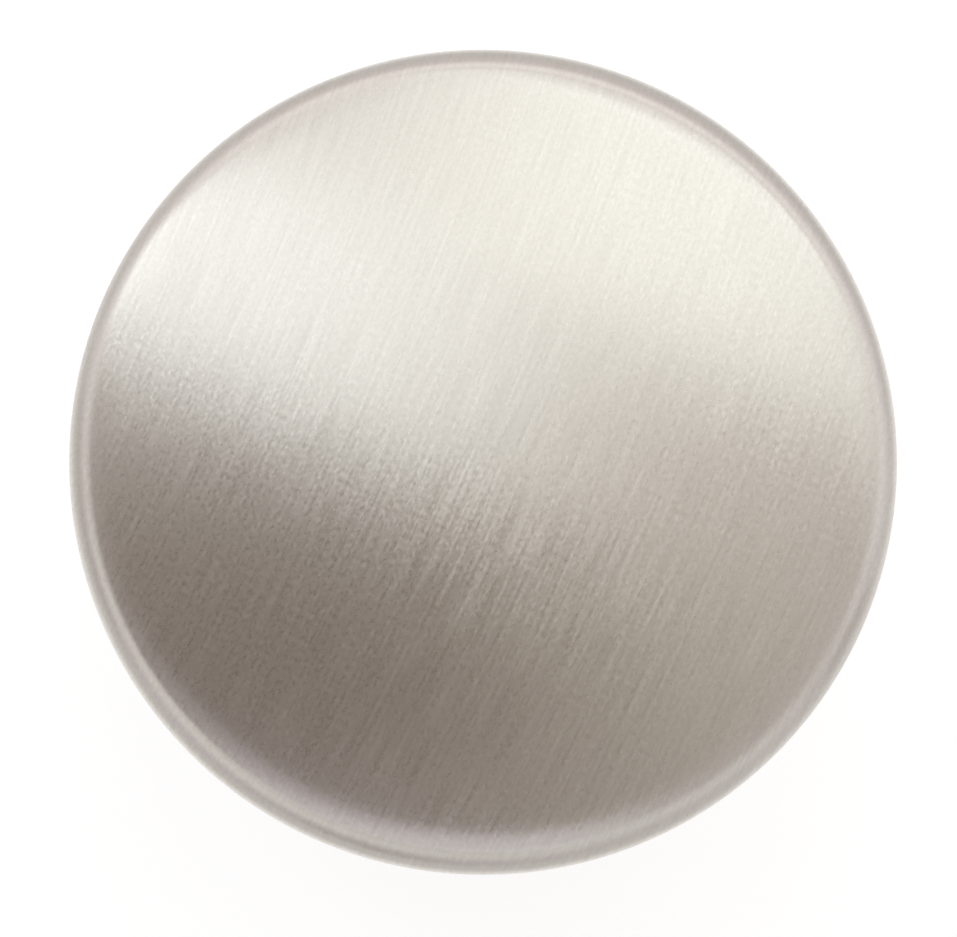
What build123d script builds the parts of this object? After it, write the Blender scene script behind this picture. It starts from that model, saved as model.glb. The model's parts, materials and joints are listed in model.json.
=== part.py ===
from build123d import *
import math
import os

# Round mushroom cabinet knob: one zinc casting, plated in nickel and brushed across its face.
# Z is the knob's axis. z = 0 is the flat that meets the door, and the domed face points to +Z.
# Every length is in millimetres and every angle in degrees.

# Head: the disc that the fingers hold
head_diameter = 32.0
projection = 25.0
dome_rise = 1.5
rim_thickness = 3.6
underside_slope = 8.0
face_edge_radius = 1.2
back_edge_chamfer = 0.6

# Stem: it tapers from the base to the waist, and a cove spreads it into the head.
# Its top diameter is where the taper would meet the underside if there were no cove.
base_diameter = 15.0
base_band_height = 1.2
base_edge_chamfer = 0.4
stem_top_diameter = 9.4
cove_radius = 5.0

# Screw hole: blind, drilled and tapped M4 from the base, so its wall stands at the thread's core
thread_core_diameter = 3.3
hole_depth = 14.0
lead_in_diameter = 4.8
lead_in_angle = 90.0
drill_point_angle = 118.0

# Places that follow from the sizes above
head_radius = head_diameter / 2
base_radius = base_diameter / 2
stem_top_radius = stem_top_diameter / 2
core_radius = thread_core_diameter / 2
lead_in_radius = lead_in_diameter / 2

underside_height = projection - dome_rise - rim_thickness
underside_drop = (head_radius - stem_top_radius) * math.tan(math.radians(underside_slope))
stem_top_height = underside_height - underside_drop

# The dome is part of a large ball. The roll of the face's edge touches the ball from inside,
# so the roll's centre, the ball's centre and the place where they meet are in line.
dome_radius = (head_radius**2 + dome_rise**2) / (2 * dome_rise)
dome_centre_height = projection - dome_radius
roll_centre_radius = head_radius - face_edge_radius
roll_centre_rise = math.sqrt((dome_radius - face_edge_radius) ** 2 - roll_centre_radius**2)
roll_start_height = dome_centre_height + roll_centre_rise
roll_reach = dome_radius / (dome_radius - face_edge_radius)
dome_edge_radius = roll_centre_radius * roll_reach
dome_edge_height = dome_centre_height + roll_centre_rise * roll_reach

lead_in_depth = (lead_in_radius - core_radius) / math.tan(math.radians(lead_in_angle / 2))
drill_tip_height = hole_depth + core_radius / math.tan(math.radians(drill_point_angle / 2))

with BuildPart() as knob:
    # Domed face: a cap of the ball, which lies on its side, so that the cap is clear of its poles
    with Locations((0, 0, dome_centre_height)):
        Sphere(dome_radius, rotation=(90, 0, 0))
    split(bisect_by=Plane.XY.offset(dome_edge_height))

    # Half section of the casting below the dome, from the base up the stem and round the rim
    with BuildSketch(Plane.XZ) as section:
        base_corner = (base_radius, 0)
        cove_corner = (stem_top_radius, stem_top_height)
        back_corner = (head_radius, underside_height)
        with BuildLine():
            Polyline(
                (0, dome_edge_height),
                (0, 0),
                base_corner,
                (base_radius, base_band_height),
                cove_corner,
                back_corner,
                (head_radius, roll_start_height),
            )
            TangentArc(
                (head_radius, roll_start_height), (dome_edge_radius, dome_edge_height), tangent=(0, 1)
            )
            Line((dome_edge_radius, dome_edge_height), (0, dome_edge_height))
        make_face()

        # The cove runs the stem into the head. The back of the rim is broken for the fingertips,
        # and the base's edge so that it can't mark the door.
        fillet(section.vertices().sort_by_distance(cove_corner)[0], radius=cove_radius)
        chamfer(section.vertices().sort_by_distance(back_corner)[0], length=back_edge_chamfer)
        chamfer(section.vertices().sort_by_distance(base_corner)[0], length=base_edge_chamfer)

        # Screw hole: countersunk mouth, straight wall and the drill's pointed end
        with BuildLine():
            Polyline(
                (0, 0),
                (lead_in_radius, 0),
                (core_radius, lead_in_depth),
                (core_radius, hole_depth),
                (0, drill_tip_height),
                close=True,
            )
        make_face(mode=Mode.SUBTRACT)
    revolve(axis=Axis.Z)

knob.part.label = "knob"
os.makedirs("parts", exist_ok=True)
export_step(knob.part, "parts/knob.step")
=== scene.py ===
# %% [markdown]
# # A round cabinet knob in brushed satin nickel
# The real knob is one zinc casting: a gently domed head on a waisted stem, with a flat foot that a screw
# draws against the door. It is plated with nickel, and its face is brushed in one direction on a belt.
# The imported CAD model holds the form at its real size. It is loaded here as a fixed frame, and this lesson
# makes a finer skin of the same sizes around it, then its finishes, a camera and a small studio.

# %% Load the frame
import json
import math

import bmesh
import bpy
from mathutils import Matrix, Vector
from mathutils.bvhtree import BVHTree


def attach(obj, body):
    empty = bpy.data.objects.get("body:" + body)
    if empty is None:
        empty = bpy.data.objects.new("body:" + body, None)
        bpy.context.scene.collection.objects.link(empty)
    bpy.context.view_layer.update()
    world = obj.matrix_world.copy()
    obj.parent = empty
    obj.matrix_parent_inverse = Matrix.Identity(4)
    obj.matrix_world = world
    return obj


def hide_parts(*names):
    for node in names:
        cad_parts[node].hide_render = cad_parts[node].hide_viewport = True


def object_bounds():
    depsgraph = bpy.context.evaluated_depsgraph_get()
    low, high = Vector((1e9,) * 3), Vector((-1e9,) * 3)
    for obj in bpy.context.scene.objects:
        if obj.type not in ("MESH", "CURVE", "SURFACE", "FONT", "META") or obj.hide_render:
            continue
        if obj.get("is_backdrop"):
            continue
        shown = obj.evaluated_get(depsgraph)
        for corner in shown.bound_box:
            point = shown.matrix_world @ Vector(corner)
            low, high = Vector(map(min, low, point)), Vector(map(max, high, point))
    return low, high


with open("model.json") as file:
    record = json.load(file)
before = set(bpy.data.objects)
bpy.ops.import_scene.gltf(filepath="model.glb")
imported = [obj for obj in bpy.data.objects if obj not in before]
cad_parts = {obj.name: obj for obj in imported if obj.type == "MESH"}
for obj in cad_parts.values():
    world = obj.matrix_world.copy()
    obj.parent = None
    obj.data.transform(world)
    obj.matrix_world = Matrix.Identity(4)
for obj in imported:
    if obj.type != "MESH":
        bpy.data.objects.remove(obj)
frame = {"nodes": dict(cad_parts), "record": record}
cad_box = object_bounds()

MM = 0.001
head_radius = cad_box[1].x / MM
projection = cad_box[1].z / MM
print(f"frame: head {2 * head_radius:.1f} mm across, {projection:.1f} mm off the door")

# %% [markdown]
# ## The camera
# The photograph looks almost straight down the knob's axis. The lower edge shows a sliver of the rim's side,
# so the camera stands a few degrees off the axis, towards the foot of the picture. A wide lens would swell
# the middle of the face, so a long one is used, and its distance follows from how wide the head is in the
# picture. The head sits a few pixels off the middle, and aiming the camera a little beside it gives that
# without any lens shift.

# %% Camera
photo_width = 957
photo_height = 937
head_width_px = 826.0
head_centre_px = (483.1, 460.5)
camera_tilt = 4.5
lens_mm = 180.0
sensor_mm = 36.0
rim_height = 22.0

mm_per_px = 2 * head_radius / head_width_px
camera_distance = lens_mm / sensor_mm * photo_width * mm_per_px
aim = Vector(
    (
        (photo_width / 2 - head_centre_px[0]) * mm_per_px,
        (head_centre_px[1] - photo_height / 2) * mm_per_px,
        rim_height,
    )
)
tilt = math.radians(camera_tilt)
towards_camera = Vector((0, -math.sin(tilt), math.cos(tilt)))

camera_data = bpy.data.cameras.new("photo_camera")
camera_data.lens = lens_mm
camera_data.sensor_width = sensor_mm
camera_data.clip_start = 0.01
camera = bpy.data.objects.new("photo_camera", camera_data)
camera.location = (aim + towards_camera * camera_distance) * MM
camera.rotation_euler = (tilt, 0, 0)
bpy.context.collection.objects.link(camera)
bpy.context.scene.camera = camera
print(f"camera: {camera_distance:.0f} mm from the rim, {camera_tilt} degrees off the axis")

# %% [markdown]
# ## The half section
# The knob is round all the way down, from its domed face to its foot. A squashed ball on a cylinder would
# come close, but half of the section, drawn from the middle of the face to the mouth of the screw hole, gives
# each edge its own round. The dome is part of a large ball, and the roll at its edge touches the ball from
# inside, so both are arcs with worked-out centres. The rest is a chain of corners with small rounds: a sharp
# edge would look like folded paper, because real edges always catch a line of light.

# %% Sizes of the section, in millimetres
dome_rise = 1.5
edge_roll = 1.2
rim_thickness = 3.6
underside_slope = math.radians(8.0)
back_chamfer = 0.6
stem_top_radius = 4.7
cove_radius = 5.0
base_radius = 7.5
base_band = 1.2
base_chamfer = 0.4
lead_in_radius = 2.4
soft_edge = 0.12

dome_radius = (head_radius**2 + dome_rise**2) / (2 * dome_rise)
dome_centre = projection - dome_radius
roll_radius = head_radius - edge_roll
roll_height = dome_centre + math.sqrt((dome_radius - edge_roll) ** 2 - roll_radius**2)
dome_edge = math.asin(roll_radius / (dome_radius - edge_roll))
underside = projection - dome_rise - rim_thickness
stem_top = underside - (head_radius - stem_top_radius) * math.tan(underside_slope)
print(f"section: dome of {dome_radius:.1f} mm radius, {math.degrees(dome_edge):.1f} degrees at its edge")


# %% Arcs and rounded corners
def arc(centre, radius, start, end, steps):
    """Points on a circle from one angle to another. Angles are measured from straight up, in radians."""
    angles = [start + (end - start) * step / steps for step in range(steps + 1)]
    return [Vector((centre[0] + radius * math.sin(a), centre[1] + radius * math.cos(a))) for a in angles]


def rounded(before, corner, after, radius, steps):
    """Points of the arc that takes a corner's place and touches both of its straight sides."""
    back = (before - corner).normalized()
    ahead = (after - corner).normalized()
    half_angle = back.angle(ahead) / 2
    centre = corner + (back + ahead).normalized() * radius / math.sin(half_angle)
    start = (corner + back * radius / math.tan(half_angle) - centre).normalized()
    end = (corner + ahead * radius / math.tan(half_angle) - centre).normalized()
    return [centre + start.slerp(end, step / steps) * radius for step in range(steps + 1)]


back_run = Vector((math.cos(underside_slope), math.sin(underside_slope))) * back_chamfer
corners = [
    (Vector((head_radius, roll_height)), None),
    (Vector((head_radius, underside + back_chamfer)), soft_edge),
    (Vector((head_radius, underside)) - back_run, soft_edge),
    (Vector((stem_top_radius, stem_top)), cove_radius),
    (Vector((base_radius, base_band)), base_band / 2),
    (Vector((base_radius, base_chamfer)), soft_edge),
    (Vector((base_radius - base_chamfer, 0)), soft_edge),
    (Vector((lead_in_radius, 0)), None),
]
print(f"section: {len(corners)} corners below the dome")

# %% Draw the section
# From the shoulder outwards the dome's points lie closer together, for the edge that the belt wears later
shoulder_radius = 13.5
shoulder = math.asin(shoulder_radius / dome_radius)
section = arc((0, dome_centre), dome_radius, 0, shoulder, steps=40)
section += arc((0, dome_centre), dome_radius, shoulder, dome_edge, steps=24)[1:]
section += arc((roll_radius, roll_height), edge_roll, dome_edge, math.pi / 2, steps=32)[1:]
for (before, _), (corner, radius), (after, _) in zip(corners, corners[1:], corners[2:]):
    section += rounded(before, corner, after, radius, steps=24 if radius == cove_radius else 8)
section.append(corners[-1][0])
print(f"section: {len(section)} points")

# %% [markdown]
# ## The screw hole's thread
# The hole takes an M4 machine screw. Rings would be the quick way, but a real thread climbs by its pitch on
# each turn. Here the wall is a sheet whose rows climb with the turn, so that each row stays on one line of
# the thread, and the rows are held between the hole's mouth and its end. The cone at the mouth cuts the first
# turns away, and the thread fades out before the drilled end, as a tap leaves it.

# %% Sizes of the thread, in millimetres
hole = next(mount for mount in frame["record"]["mounts"] if mount["name"] == "screw_hole")
core_radius = hole["dims"]["r_mm"]
# The lead-in is a cone of 90 degrees, so it goes as deep as its radius narrows
lead_in_depth = lead_in_radius - core_radius
hole_depth = hole["dims"]["length_mm"] + lead_in_depth
drill_point = math.radians(118)
drill_tip = hole_depth + core_radius / math.tan(drill_point / 2)
pitch = 0.7
thread_radius = 2.0
flank_slope = math.radians(30)
untapped_end = 2.0

thread_depth = thread_radius - core_radius
flank = thread_depth * math.tan(flank_slope)
root_flat = pitch / 8
crest_flat = pitch - root_flat - 2 * flank
tapped_depth = hole_depth - untapped_end
print(f"thread: M4 with a pitch of {pitch} mm, {tapped_depth / pitch:.0f} turns deep")

# %% Profile of the thread
# Heights within one pitch where the profile turns: crest, flank, root and flank, each cut in two
turns = [0, crest_flat, crest_flat + flank, crest_flat + flank + root_flat, pitch]
row_heights = [low + (high - low) * half for low, high in zip(turns, turns[1:]) for half in (0, 0.5)]
rows_per_turn = len(row_heights)


def wall_radius(height, place):
    """Radius of the hole's wall at a height, where place is how far up one pitch the thread's profile is."""
    cut = min((place - crest_flat) / flank, (pitch - place) / flank, 1.0)
    fade = min(max((tapped_depth - height) / pitch, 0.0), 1.0)
    return max(core_radius + thread_depth * max(cut, 0.0) * fade, lead_in_radius - height)


print(f"thread: {rows_per_turn} rows to a turn")

# %% [markdown]
# ## The skin
# The section is spun about the axis, which is how a lathe or a round mould makes it. The Screw modifier does
# the same without code, but bmesh lets the spun skin and the thread be sewn into one closed mesh, as the
# casting is one piece.

# %% Spin the section
segments = 192
knob_mesh = bpy.data.meshes.new("brushed_knob")
bm = bmesh.new()
profile = [bm.verts.new((point.x * MM, 0, point.y * MM)) for point in section]
profile_edges = [bm.edges.new(pair) for pair in zip(profile, profile[1:])]
bmesh.ops.spin(
    bm,
    geom=profile + profile_edges,
    cent=(0, 0, 0),
    axis=(0, 0, 1),
    angle=2 * math.pi,
    steps=segments,
    use_merge=True,
)
print(f"skin: spun in {segments} steps, {len(bm.faces)} faces")

# %% Stand the thread's columns round the hole
row_count = (math.ceil(hole_depth / pitch) + 2) * rows_per_turn
columns = []
for segment in range(segments):
    angle = 2 * math.pi * segment / segments
    column = []
    for row in range(row_count):
        place = row_heights[row % rows_per_turn]
        climb = pitch * (row // rows_per_turn - 1 + segment / segments)
        height = min(max(climb + place, 0.0), hole_depth)
        radius = wall_radius(height, place)
        column.append(bm.verts.new(Vector((radius * math.cos(angle), radius * math.sin(angle), height)) * MM))
    columns.append(column)
print(f"thread: {len(columns)} columns of {row_count} points")

# %% Sew the thread into the skin
drill_end = bm.verts.new((0, 0, drill_tip * MM))
for segment in range(segments):
    # The last column meets the first one a full turn higher up the thread
    step = rows_per_turn if segment == segments - 1 else 0
    left = columns[segment]
    right = columns[(segment + 1) % segments]
    for row in range(row_count - 1):
        upper = min(row + 1 + step, row_count - 1)
        lower = min(row + step, row_count - 1)
        around = [left[row], right[lower], right[upper], left[row + 1]]
        bm.faces.new(list(dict.fromkeys(around)))
    bm.faces.new((left[-1], right[-1], drill_end))

weld_distance = 0.0001 * MM
bmesh.ops.remove_doubles(bm, verts=bm.verts, dist=weld_distance)
bmesh.ops.recalc_face_normals(bm, faces=bm.faces)
open_edges = sum(not edge.is_manifold for edge in bm.edges)
print(f"skin: {len(bm.faces)} faces, {open_edges} open edges, {bm.calc_volume() / MM**3:.0f} cubic mm")

# %% [markdown]
# ## The edge that the belt has worn
# The roll round the face isn't crisp. The belt takes a little metal off it all the way round, and more at
# both ends of its strokes, where it wraps over the edge, most of all at the foot of the picture. A bevel
# would round the edge evenly, so the skin is let down along a soft step at the dome's edge instead, deepest
# at the ends of the strokes and fading round the rim. It only goes inwards, by less than 0.2 mm.

# %% Wear the edge
wear_width = 0.57
worn_all_round = 0.05
# For each end of the strokes: its place on the rim and its spread, both in degrees, and its depth
worn_ends = [(-97, 68, 0.11), (65, 38, 0.09)]
dome_edge_radius = dome_radius * math.sin(dome_edge)


def wear_depth(point):
    """How far the belt has worn the face down at a point, in millimetres."""
    step = 0.5 + 0.5 * math.erf((point.xy.length - dome_edge_radius) / wear_width)
    side = math.degrees(math.atan2(point.y, point.x))
    depth = worn_all_round
    for end, spread, deepest in worn_ends:
        depth += deepest * math.exp(-((math.remainder(side - end, 360) / spread) ** 2))
    return depth * step


face_points = [vertex for vertex in bm.verts if vertex.co.z > (roll_height - soft_edge) * MM]
depths = [wear_depth(vertex.co / MM) for vertex in face_points]
for vertex, depth in zip(face_points, depths):
    vertex.co.z -= depth * MM
print(f"wear: up to {max(depths):.2f} mm at the lower edge")

# %% [markdown]
# ## Which finish goes where
# The belt reaches the dome and the roll round its edge. Below that the knob is finished as it turns, so its
# fine lines run round it, and the tapped hole shows plain zinc. One mesh holds all three as material slots,
# because a finish on the real casting changes with no seam. The brushing also needs directions, so a UV map
# is laid along the belt's strokes: U runs along a scratch and V across it, both in millimetres. The strokes
# bend slightly, as a hand that guides the knob over the belt does, so the map is laid on wide circles.

# %% Sort the faces by finish
belt_brushed, turned, tapped = range(3)
# The belt wraps a little past the widest line of the rim
belt_reach = roll_height - edge_roll / 4


def finish_of(face):
    """The material slot of a face, from where it lies on the knob."""
    middle = face.calc_center_median() / MM
    if middle.z > belt_reach:
        return belt_brushed
    in_hole = middle.xy.length < lead_in_radius and middle.z < drill_tip
    return tapped if in_hole else turned


for face in bm.faces:
    face.smooth = True
    face.material_index = finish_of(face)
finishes = [face.material_index for face in bm.faces]
print("finishes: faces brushed, turned and tapped", [finishes.count(slot) for slot in range(3)])

# %% Lay the map of the brushing
stroke_angle = math.radians(66)
stroke_bend = 170.0
along_stroke = Vector((math.cos(stroke_angle), math.sin(stroke_angle)))
across_stroke = along_stroke.orthogonal()
stroke_centre = across_stroke * stroke_bend


def stroke_place(point):
    """How far along its stroke a point lies, and how far that stroke is from the middle one, in mm."""
    arm = point - stroke_centre
    turn = math.atan2(arm.dot(along_stroke), -arm.dot(across_stroke))
    return turn * stroke_bend, stroke_bend - arm.length


brushing = bm.loops.layers.uv.new("brushing")
for face in bm.faces:
    for loop in face.loops:
        loop[brushing].uv = stroke_place(loop.vert.co.xy / MM)
bm.to_mesh(knob_mesh)
bm.free()
print(f"brushing: strokes at {math.degrees(stroke_angle):.0f} degrees, bent to a {stroke_bend:.0f} mm radius")

# %% [markdown]
# ## Onto the frame
# The skin now becomes an object. Shading could be split at every edge, but only the hole has truly sharp
# ones, and weighted normals keep the large faces smooth right up to their rounded edges. Then the skin takes
# the CAD solid's place: it hides that node and rides on its body. The two should agree, so the last lines
# measure how far apart they are.

# %% Take the CAD solid's place
crease = math.radians(40)
knob_mesh.set_sharp_from_angle(angle=crease)
knob = bpy.data.objects.new("brushed_knob", knob_mesh)
bpy.context.collection.objects.link(knob)
even_normals = knob.modifiers.new("even_normals", "WEIGHTED_NORMAL")
even_normals.keep_sharp = True
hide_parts("knob")
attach(knob, "root")

skin = BVHTree.FromObject(knob, bpy.context.evaluated_depsgraph_get())
cad_points = [vertex.co for vertex in frame["nodes"]["knob"].data.vertices]
outside = [point for point in cad_points if point.xy.length > lead_in_radius * MM or point.z > drill_tip * MM]
furthest = max(skin.find_nearest(point)[3] for point in outside)
print(f"skin: at most {furthest / MM:.3f} mm from the CAD solid's corners outside the hole")

# %% [markdown]
# ## Colours and nodes
# Colours are written as the sRGB hex values that a picture shows, and Blender's nodes want linear light, so
# one function turns one into the other. A second small function adds a node, sets it and links it, which
# keeps each material below about as short as its description.


# %% Helpers for materials
def linear(hex_colour):
    """An sRGB colour such as #D8D1C9 as linear red, green, blue and full alpha."""
    shares = [int(hex_colour[place : place + 2], 16) / 255 for place in (1, 3, 5)]
    return [share / 12.92 if share <= 0.04045 else ((share + 0.055) / 1.055) ** 2.4 for share in shares] + [1]


def add_node(tree, kind, inputs=None, **settings):
    """Adds a node, sets its options, then gives each named input a value or links it to an output."""
    node = tree.nodes.new(kind)
    for name, value in settings.items():
        setattr(node, name, value)
    for name, value in (inputs or {}).items():
        if isinstance(value, bpy.types.NodeSocket):
            tree.links.new(value, node.inputs[name])
        else:
            node.inputs[name].default_value = value
    return node


def new_material(name):
    """An empty node material and its tree, on the next free slot of the knob."""
    material = bpy.data.materials.new(name)
    material.use_nodes = True
    material.node_tree.nodes.clear()
    knob_mesh.materials.append(material)
    return material.node_tree


print("colours: middle grey #808080 is", round(linear("#808080")[0], 3), "in linear light")

# %% [markdown]
# ## Nickel plate, brushed on a belt
# Satin nickel is a warm, pale metal. The belt leaves scratches that lie side by side, so a reflection smears
# across them and stays sharp along them, and the eye sees a soft sheen that has a direction. Drawing every
# scratch as geometry would need millions of faces, so the shader's own anisotropy does the smearing, and two
# noises draw what can still be told apart: scratches, stretched along the strokes, and the fine tooth of the
# plating between them. The tooth is finer than the render can hold, so it is drawn two or three times as
# coarse. Both shade the metal a little, change its gloss, and tilt the surface both ways, which is why they
# show most where light turns to dark.

# %% Scratches and tooth, with sizes in millimetres
nickel_light = "#E3DDD6"
nickel_deep = "#CCC6BE"
# Length along the strokes and width across them
scratch_size = (3.5, 0.15)
tooth_size = (0.22, 0.14)

tree = new_material("nickel_belt_brushed")
place = add_node(tree, "ShaderNodeUVMap", uv_map="brushing").outputs["UV"]


def brushed_noise(size, offset):
    """A noise drawn out along the brushing: its spots have a length and a width in millimetres."""
    sized = add_node(
        tree,
        "ShaderNodeVectorMath",
        {0: place, 1: (1 / size[0], 1 / size[1], 1), 2: (offset, offset, 0)},
        operation="MULTIPLY_ADD",
    ).outputs[0]
    return add_node(
        tree,
        "ShaderNodeTexNoise",
        {"Vector": sized, "Scale": 1.0, "Detail": 1.0, "Roughness": 0.6},
        noise_dimensions="2D",
    ).outputs["Fac"]


print(f"brushing: scratches {scratch_size[1]} mm wide and about {scratch_size[0]} mm long")

# %% [markdown]
# ## How evenly the belt has bitten
# A belt never bites the same all over a dome. Scratches stand out along the middle and in two opposite
# quarters of the face, and the tooth in the other two. The marks are deepest at the lower right and fade
# towards the upper end of the strokes. A painted mask could hold that, but the map of the brushing already
# says where a point lies, so a few even changes along it are enough.

# %% Share of tooth and lean of the marks
# Along times across, both in millimetres, is negative at the lower left and the upper right of the face
quarter_reach = (-20.0, 6.0)
tooth_share = (0.62, 0.5)
across_reach = (-9.0, 5.0)
scratch_lean = (0.074, 0.032)
along_reach = (1.0, 7.0)
lean_along = (1.0, 0.4)


def bite(position, reach, values):
    """A trait of the brushing that goes evenly from one value to another over a reach of positions."""
    return add_node(
        tree,
        "ShaderNodeMapRange",
        {
            "Value": position,
            "From Min": reach[0],
            "From Max": reach[1],
            "To Min": values[0],
            "To Max": values[1],
        },
    ).outputs["Result"]


position = add_node(tree, "ShaderNodeSeparateXYZ", {"Vector": place}).outputs
quarter = add_node(
    tree, "ShaderNodeMath", {0: position["X"], 1: position["Y"]}, operation="MULTIPLY"
).outputs[0]
tooth_here = bite(quarter, quarter_reach, tooth_share)
lean_here = add_node(
    tree,
    "ShaderNodeMath",
    {0: bite(position["Y"], across_reach, scratch_lean), 1: bite(position["X"], along_reach, lean_along)},
    operation="MULTIPLY",
).outputs[0]


def grain(offset):
    """Scratches with a share of tooth among them, from a part of the noise that nothing else uses."""
    scratches = brushed_noise(scratch_size, offset)
    tooth = brushed_noise(tooth_size, offset)
    mixed = add_node(tree, "ShaderNodeMix", {"Factor": tooth_here, "A": scratches, "B": tooth})
    return mixed.outputs["Result"]


print(f"brushing: tooth makes up {tooth_share[1]:.0%} to {tooth_share[0]:.0%} of the grain")

# %% Belt-brushed nickel
brushed_roughness = 0.29
brushed_spread = 0.07
brushed_anisotropy = 0.74
# The highlight is drawn out a quarter turn away from the tangent, so across the grain
quarter_turn = 0.25

tone = add_node(
    tree,
    "ShaderNodeMix",
    {"Factor": grain(0.0), "A": linear(nickel_deep), "B": linear(nickel_light)},
    data_type="RGBA",
)
lean = add_node(tree, "ShaderNodeCombineColor", {"Red": grain(100.0), "Green": grain(200.0), "Blue": 1.0})
surface = add_node(
    tree,
    "ShaderNodeNormalMap",
    {"Color": lean.outputs["Color"], "Strength": lean_here},
    uv_map="brushing",
)
gloss = add_node(
    tree,
    "ShaderNodeMapRange",
    {
        "Value": grain(300.0),
        "To Min": brushed_roughness - brushed_spread,
        "To Max": brushed_roughness + brushed_spread,
    },
)
along = add_node(tree, "ShaderNodeTangent", direction_type="UV_MAP", uv_map="brushing")
metal = add_node(
    tree,
    "ShaderNodeBsdfPrincipled",
    {
        "Base Color": tone.outputs["Result"],
        "Metallic": 1.0,
        "Roughness": gloss.outputs["Result"],
        "Anisotropic": brushed_anisotropy,
        "Anisotropic Rotation": quarter_turn,
        "Tangent": along.outputs["Tangent"],
        "Normal": surface.outputs["Normal"],
    },
)
add_node(tree, "ShaderNodeOutputMaterial", {"Surface": metal.outputs["BSDF"]})
print(f"finish: belt-brushed nickel in {len(tree.nodes)} nodes")

# %% [markdown]
# ## Nickel plate, finished as it turns
# The rim's side, the underside, the stem and the foot are rubbed with a fine pad while the knob spins, so
# their lines run round the axis and break off after a few millimetres. To the eye that draws each reflection
# out along the stem. The shader's tangent can follow the turning by itself: its radial kind runs round the Z
# axis. A map wrapped round the stem could hold the lines, but it would have a seam. A noise that is squeezed
# hard along the section and hardly at all around the axis has none.

# %% Turned lines
line_spacing = 0.14
# Each line follows a circle of this radius through the noise, and a wider circle has more breaks
line_breaks = 2.5

tree = new_material("nickel_turned")
place = add_node(tree, "ShaderNodeTexCoord").outputs["Object"]
flat = add_node(tree, "ShaderNodeVectorMath", {0: place, 1: (1, 1, 0)}, operation="MULTIPLY").outputs[0]
reach = add_node(tree, "ShaderNodeVectorMath", {0: flat}, operation="LENGTH").outputs["Value"]
height = add_node(tree, "ShaderNodeSeparateXYZ", {"Vector": place}).outputs["Z"]
# Distance from the axis and height both change along the section, so their difference numbers its lines
ring = add_node(tree, "ShaderNodeMath", {0: reach, 1: height}, operation="SUBTRACT").outputs[0]
ring = add_node(tree, "ShaderNodeMath", {0: ring, 1: line_spacing * MM}, operation="DIVIDE").outputs[0]
ring = add_node(tree, "ShaderNodeCombineXYZ", {"Z": ring}).outputs["Vector"]
side = add_node(tree, "ShaderNodeVectorMath", {0: flat}, operation="NORMALIZE").outputs[0]
place = add_node(
    tree,
    "ShaderNodeVectorMath",
    {0: side, 1: (line_breaks, line_breaks, 0), 2: ring},
    operation="MULTIPLY_ADD",
).outputs[0]
lines = add_node(tree, "ShaderNodeTexNoise", {"Vector": place, "Scale": 1.0, "Detail": 1.0}).outputs["Fac"]
print(f"turning: lines about {line_spacing} mm apart")

# %% Turned nickel
turned_roughness = 0.30
turned_spread = 0.05
turned_anisotropy = 0.7
line_depth = 0.003 * MM

line_height = add_node(tree, "ShaderNodeBump", {"Height": lines, "Strength": 1.0, "Distance": line_depth})
tone = add_node(
    tree,
    "ShaderNodeMix",
    {"Factor": lines, "A": linear(nickel_deep), "B": linear(nickel_light)},
    data_type="RGBA",
)
gloss = add_node(
    tree,
    "ShaderNodeMapRange",
    {
        "Value": lines,
        "To Min": turned_roughness - turned_spread,
        "To Max": turned_roughness + turned_spread,
    },
)
around = add_node(tree, "ShaderNodeTangent", direction_type="RADIAL", axis="Z")
metal = add_node(
    tree,
    "ShaderNodeBsdfPrincipled",
    {
        "Base Color": tone.outputs["Result"],
        "Metallic": 1.0,
        "Roughness": gloss.outputs["Result"],
        "Anisotropic": turned_anisotropy,
        "Anisotropic Rotation": quarter_turn,
        "Tangent": around.outputs["Tangent"],
        "Normal": line_height.outputs["Normal"],
    },
)
add_node(tree, "ShaderNodeOutputMaterial", {"Surface": metal.outputs["BSDF"]})
print(f"finish: turned nickel in {len(tree.nodes)} nodes")

# %% [markdown]
# ## Zinc alloy, tapped
# Plating hardly reaches into a narrow hole, so the thread shows the casting alloy. A tap tears it a little,
# and the eye sees a cooler, darker and duller grey than the nickel. A bump could draw each tear, but the hole
# is small and in shade, so one noise on the gloss is enough.

# %% Tapped zinc
zinc = "#A9A9A8"
torn_size = 0.15
torn_roughness = (0.35, 0.55)

tree = new_material("zinc_tapped")
place = add_node(tree, "ShaderNodeTexCoord").outputs["Object"]
torn = add_node(
    tree, "ShaderNodeTexNoise", {"Vector": place, "Scale": 1 / (torn_size * MM), "Detail": 3.0}
).outputs["Fac"]
gloss = add_node(
    tree, "ShaderNodeMapRange", {"Value": torn, "To Min": torn_roughness[0], "To Max": torn_roughness[1]}
)
metal = add_node(
    tree,
    "ShaderNodeBsdfPrincipled",
    {"Base Color": linear(zinc), "Metallic": 1.0, "Roughness": gloss.outputs["Result"]},
)
add_node(tree, "ShaderNodeOutputMaterial", {"Surface": metal.outputs["BSDF"]})
print(f"finish: {len(knob_mesh.materials)} materials on the knob")

# %% [markdown]
# ## Soft boxes and cards
# A mirror shows only its surroundings, and brushed metal is a blurred mirror, so the light is arranged by
# what the dome should show. Product photographers stand such things in a white tent. Two soft boxes shine in
# from above: a long strip on the left and a square one at the upper right. Two white cards fill in the dark
# below and at the upper left. All four could be planes that glow. Area lamps are used, because a lamp's power
# can be worked out from how bright it should look.

# %% Places round the knob
face_middle = Vector((0, 0, projection))
box_distance = 600.0


def towards(right, up):
    """The direction that lies so many degrees right of and above the knob's axis, as the camera sees it."""
    lean = math.radians(math.hypot(right, up))
    side = Vector((right, up)).normalized()
    return Vector((side.x * math.sin(lean), side.y * math.sin(lean), math.cos(lean)))


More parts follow.
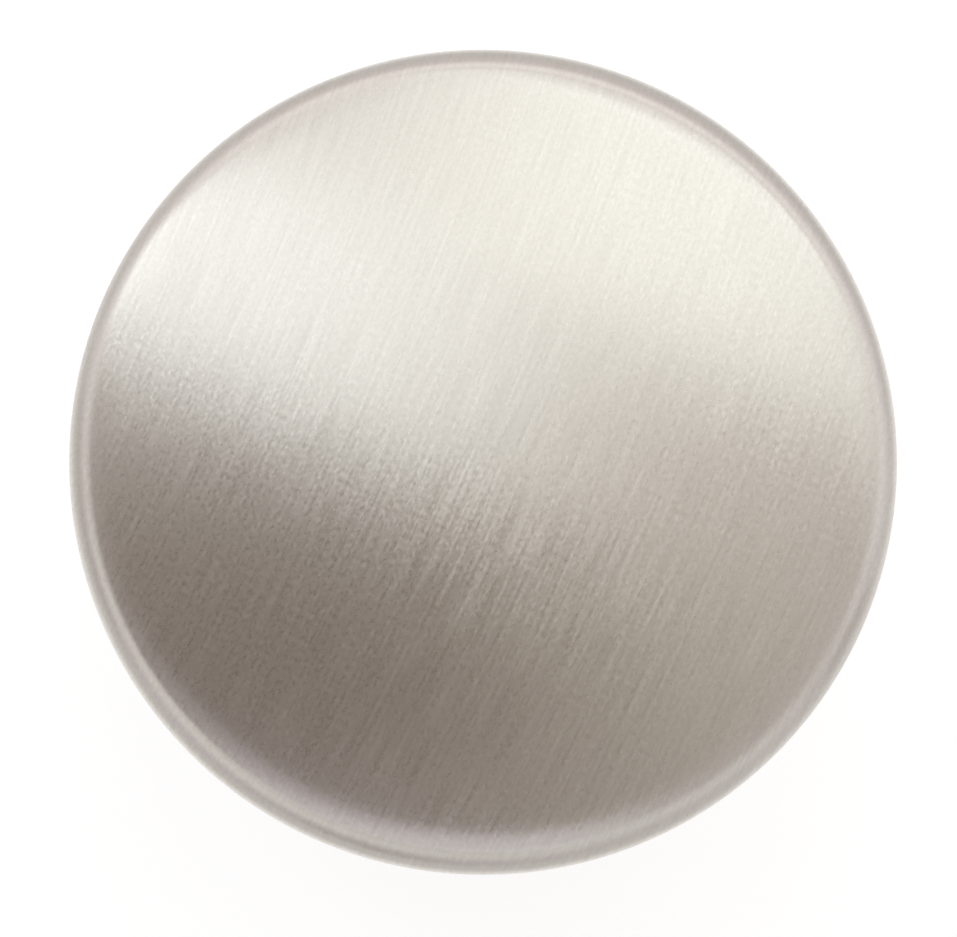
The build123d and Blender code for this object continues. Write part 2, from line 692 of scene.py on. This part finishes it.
def turned_axes(facing, turn):
    """Two axes square to a direction: one level and one upright, turned together by an angle in degrees."""
    level = Vector((0, 1, 0)).cross(facing).normalized()
    upright = facing.cross(level)
    angle = math.radians(turn)
    first = level * math.cos(angle) + upright * math.sin(angle)
    return first, facing.cross(first)


print(f"studio: lamps stand {box_distance:.0f} mm from the middle of the face")


# %% Soft boxes and cards
def soft_box(name, right, up, turn, width, height, level, colour):
    """A flat lamp that faces the knob. Its level is what it adds to the tent's light, where 1 is white."""
    facing = towards(right, up)
    first, second = turned_axes(facing, turn)
    lamp = bpy.data.lights.new(name, "AREA")
    lamp.shape = "RECTANGLE"
    lamp.size = width * MM
    lamp.size_y = height * MM
    # An area lamp looks as bright as its watts per square metre divided by pi
    lamp.energy = level * math.pi * lamp.size * lamp.size_y
    lamp.color = linear(colour)[:3]
    stand = bpy.data.objects.new(name, lamp)
    stand.rotation_euler = Matrix((first, second, facing)).transposed().to_euler()
    stand.location = (face_middle + facing * box_distance) * MM
    bpy.context.collection.objects.link(stand)
    print(f"{name}: {width:.0f} by {height:.0f} mm, {lamp.energy:.2f} W")


soft_box("strip_box", right=-23.5, up=20.2, turn=-23, width=695, height=167, level=1.02, colour="#EAF8FF")
soft_box("square_box", right=14.7, up=25.4, turn=62.6, width=288, height=428, level=0.97, colour="#F2FEFF")
soft_box("lower_card", right=-7.2, up=-33.9, turn=-26, width=480, height=224, level=0.34, colour="#E5E9FF")
soft_box("upper_card", right=-19, up=39, turn=26, width=200, height=260, level=0.14, colour="#F2F2FF")

# %% [markdown]
# ## The tent
# The tent is the world's colour. A picture of a studio is the usual way to fill it, but a few tones say more
# plainly what the metal mirrors. The roof is a warm grey and the upper walls are white, so a ramp by slant,
# from straight up to the floor, gives the cloth. The camera looks in through an opening, which is dark, and
# the dome shows it just below left of its middle. The cloth is lit a little more at the head of the picture.

# %% Tent cloth
# Degrees from straight up, and the cloth's colour there
tent_levels = [(0, "#C1B6A9"), (35, "#C6C2BF"), (60, "#FFFFFF"), (80, "#E1DDE2"), (92, "#E8E4EA")]
ramp_end = 100

tent = bpy.data.worlds.new("light_tent")
tent.use_nodes = True
bpy.context.scene.world = tent
tree = tent.node_tree
tree.nodes.clear()
look = add_node(tree, "ShaderNodeTexCoord").outputs["Generated"]
parts = add_node(tree, "ShaderNodeSeparateXYZ", {"Vector": look}).outputs
# The slant is 0 straight up and 1 at the ramp's end
slant = add_node(tree, "ShaderNodeMath", {0: parts["Z"]}, operation="ARCCOSINE").outputs[0]
slant = add_node(
    tree, "ShaderNodeMath", {0: slant, 1: 1 / math.radians(ramp_end)}, operation="MULTIPLY"
).outputs[0]
cloth = add_node(tree, "ShaderNodeValToRGB", {"Fac": slant})
stops = cloth.color_ramp.elements
while len(stops) < len(tent_levels):
    stops.new(1.0)
for stop, (angle, colour) in zip(stops, tent_levels):
    stop.position = angle / ramp_end
    stop.color = linear(colour)
print("tent: colours at", [angle for angle, _ in tent_levels], "degrees from straight up")

# %% The camera's opening
opening_colour = "#726359"
opening = towards(right=-18, up=-11.2)
opening_level, opening_upright = turned_axes(opening, turn=0)
# Half sizes at a distance of 1, and the part of them over which the edge is soft
opening_half_width = 0.44
opening_half_height = 0.33
opening_softness = 0.2
# Directions that point away are held just ahead, which puts them far outside the opening
least_ahead = 0.01


def along_opening(axis):
    """How far the direction that is looked in goes along one of the opening's axes."""
    return add_node(
        tree, "ShaderNodeVectorMath", {0: look, 1: axis}, operation="DOT_PRODUCT"
    ).outputs["Value"]


ahead = add_node(
    tree, "ShaderNodeMath", {0: along_opening(opening), 1: least_ahead}, operation="MAXIMUM"
).outputs[0]
offset = add_node(
    tree,
    "ShaderNodeCombineXYZ",
    {
        "X": along_opening(opening_level / opening_half_width),
        "Y": along_opening(opening_upright / opening_half_height),
    },
).outputs["Vector"]
offset = add_node(tree, "ShaderNodeVectorMath", {0: offset}, operation="LENGTH").outputs["Value"]
offset = add_node(tree, "ShaderNodeMath", {0: offset, 1: ahead}, operation="DIVIDE").outputs[0]
open_share = add_node(
    tree,
    "ShaderNodeMapRange",
    {
        "Value": offset,
        "From Min": 1 - opening_softness,
        "From Max": 1 + opening_softness,
        "To Min": 1.0,
        "To Max": 0.0,
    },
    interpolation_type="SMOOTHSTEP",
).outputs["Result"]
tent_colour = add_node(
    tree,
    "ShaderNodeMix",
    {"Factor": open_share, "A": cloth.outputs["Color"], "B": linear(opening_colour)},
    data_type="RGBA",
).outputs["Result"]
opening_width = math.degrees(2 * math.atan(opening_half_width))
print(f"tent: the camera's opening is {opening_width:.0f} degrees wide")

# %% [markdown]
# ## The tent's walls
# The walls of a tent don't quite meet, and the wall at the head of the picture hangs in a little shade. The
# side of the stem faces them and shows the gaps as soft dark lines. Without them it would look like plaster.
# Dark boards could stand there, but as tones of the world the gaps cast no shadow.

# %% Gaps between the walls
# The place round the tent and half the width, both in degrees, and the colour. The first is the shaded wall
wall_gaps = [(95, 80, "#D0CACA"), (186, 24, "#BEB7B5"), (252, 8, "#BEB7B5"), (338, 12, "#BEB7B5")]
# Degrees from straight up where the walls begin and where they are full
wall_top = (62, 80)

level_look = add_node(tree, "ShaderNodeVectorMath", {0: look, 1: (1, 1, 0)}, operation="MULTIPLY").outputs[0]
level_look = add_node(tree, "ShaderNodeVectorMath", {0: level_look}, operation="NORMALIZE").outputs[0]
wall_share = add_node(
    tree,
    "ShaderNodeMapRange",
    {"Value": slant, "From Min": wall_top[0] / ramp_end, "From Max": wall_top[1] / ramp_end},
    interpolation_type="SMOOTHSTEP",
).outputs["Result"]
for gap, half_width, gap_colour in wall_gaps:
    gap_side = (math.cos(math.radians(gap)), math.sin(math.radians(gap)), 0)
    # A gap has its full colour over the middle third and fades out towards its edges
    gap_edge = math.cos(math.radians(half_width))
    gap_core = math.cos(math.radians(half_width / 3))
    facing = add_node(
        tree, "ShaderNodeVectorMath", {0: level_look, 1: gap_side}, operation="DOT_PRODUCT"
    ).outputs["Value"]
    gap_share = add_node(
        tree,
        "ShaderNodeMapRange",
        {"Value": facing, "From Min": gap_edge, "From Max": gap_core, "To Max": wall_share},
        interpolation_type="SMOOTHSTEP",
    ).outputs["Result"]
    tent_colour = add_node(
        tree,
        "ShaderNodeMix",
        {"Factor": gap_share, "A": tent_colour, "B": linear(gap_colour)},
        data_type="RGBA",
    ).outputs["Result"]
print("tent: walls change at", [gap for gap, _, _ in wall_gaps], "degrees round it")

# %% Light the tent
tent_strength = 1.03
brighter_upwards = 0.23

strength = add_node(
    tree,
    "ShaderNodeMath",
    {0: parts["Y"], 1: brighter_upwards, 2: tent_strength},
    operation="MULTIPLY_ADD",
).outputs[0]
glow = add_node(tree, "ShaderNodeBackground", {"Color": tent_colour, "Strength": strength})
add_node(tree, "ShaderNodeOutputWorld", {"Surface": glow.outputs["Background"]})
print(f"tent: strength {tent_strength}, with {brighter_upwards} more at the head of the picture")

# %% [markdown]
# ## The floor
# The knob stands on its foot on white matt paper, which shows the eye soft shade and no reflection. Paper in
# a tent is nearly as bright as the tent itself. A little glow, seen by the camera and in the metal alike,
# lifts it to the white of the picture. More light would do that too, but it would bleach the metal. The glow
# is painted light: kept low under the head, it is a painted shadow there, and fading outwards over an oval,
# it is a painted pool of light. The paper still takes the knob's real shadow from the lamps.

# %% Sheet of paper
floor_half = 1.5
floor_mesh = bpy.data.meshes.new("paper_floor")
bm = bmesh.new()
bmesh.ops.create_grid(bm, x_segments=1, y_segments=1, size=floor_half)
bm.to_mesh(floor_mesh)
bm.free()
floor = bpy.data.objects.new("paper_floor", floor_mesh)
bpy.context.collection.objects.link(floor)
floor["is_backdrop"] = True
print(f"floor: {2 * floor_half:.0f} m of paper")

# %% Painted light on the paper: a painted shadow under the head and a painted pool of light around it
# Millimetres from the axis, and the glow there. The oval's first value is under 1, so it is longest sideways.
# The low values under the head are a painted shadow, and the higher ones a painted pool of light that fades
# out
painted_light_levels = [(0, 0.16), (4, 0.16), (11, 0.63), (20, 0.63), (66, 0.26)]
painted_light_oval = (0.72, 1, 1)
painted_light_end = 100

paper_with_painted_light = bpy.data.materials.new("paper_matt_with_painted_light")
paper_with_painted_light.use_nodes = True
floor_mesh.materials.append(paper_with_painted_light)
tree = paper_with_painted_light.node_tree
tree.nodes.clear()
place = add_node(tree, "ShaderNodeTexCoord").outputs["Object"]
place = add_node(tree, "ShaderNodeVectorMath", {0: place, 1: painted_light_oval}, operation="MULTIPLY").outputs[0]
reach = add_node(tree, "ShaderNodeVectorMath", {0: place}, operation="LENGTH").outputs["Value"]
reach = add_node(tree, "ShaderNodeMath", {0: reach, 1: painted_light_end * MM}, operation="DIVIDE").outputs[0]
painted_light_pool = add_node(tree, "ShaderNodeValToRGB", {"Fac": reach})
painted_light_pool.color_ramp.interpolation = "EASE"
stops = painted_light_pool.color_ramp.elements
while len(stops) < len(painted_light_levels):
    stops.new(1.0)
for stop, (distance, level) in zip(stops, painted_light_levels):
    stop.position = distance / painted_light_end
    stop.color = (level, level, level, 1)
print("floor: glow changes at", [distance for distance, _ in painted_light_levels], "mm from the axis")

# %% White matt paper
paper = "#C0C0C0"
paper_roughness = 0.9
paper_specular = 0.2

# The glow can be seen, directly and in a mirror, but it lights nothing
ray = add_node(tree, "ShaderNodeLightPath").outputs
seen = ray["Is Camera Ray"]
for kind in ("Is Glossy Ray", "Is Transmission Ray"):
    seen = add_node(tree, "ShaderNodeMath", {0: seen, 1: ray[kind]}, operation="MAXIMUM").outputs[0]
# The pool's low middle is a painted shadow under the head, and the rest of it a painted pool of light
glow = add_node(tree, "ShaderNodeMath", {0: seen, 1: painted_light_pool.outputs["Color"]}, operation="MULTIPLY").outputs[0]
sheet = add_node(
    tree,
    "ShaderNodeBsdfPrincipled",
    {
        "Base Color": linear(paper),
        "Roughness": paper_roughness,
        "Specular IOR Level": paper_specular,
        "Emission Color": (1, 1, 1, 1),
        "Emission Strength": glow,
    },
)
add_node(tree, "ShaderNodeOutputMaterial", {"Surface": sheet.outputs["BSDF"]})
print(f"finish: white paper in {len(tree.nodes)} nodes")

# %% [markdown]
# ## Show it
# The Standard view shows a colour about as it is written. The last lines keep both boxes, the CAD model's and
# the finished skin's, so that it is easy to see that the skin hasn't grown.

# %% View settings and size
bpy.context.scene.view_settings.view_transform = "Standard"
skin_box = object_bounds()
growth = max(abs(a - b) for cad, seen in zip(cad_box, skin_box) for a, b in zip(cad, seen))
print(f"size: the skin's box is within {growth / MM:.3f} mm of the CAD model's")
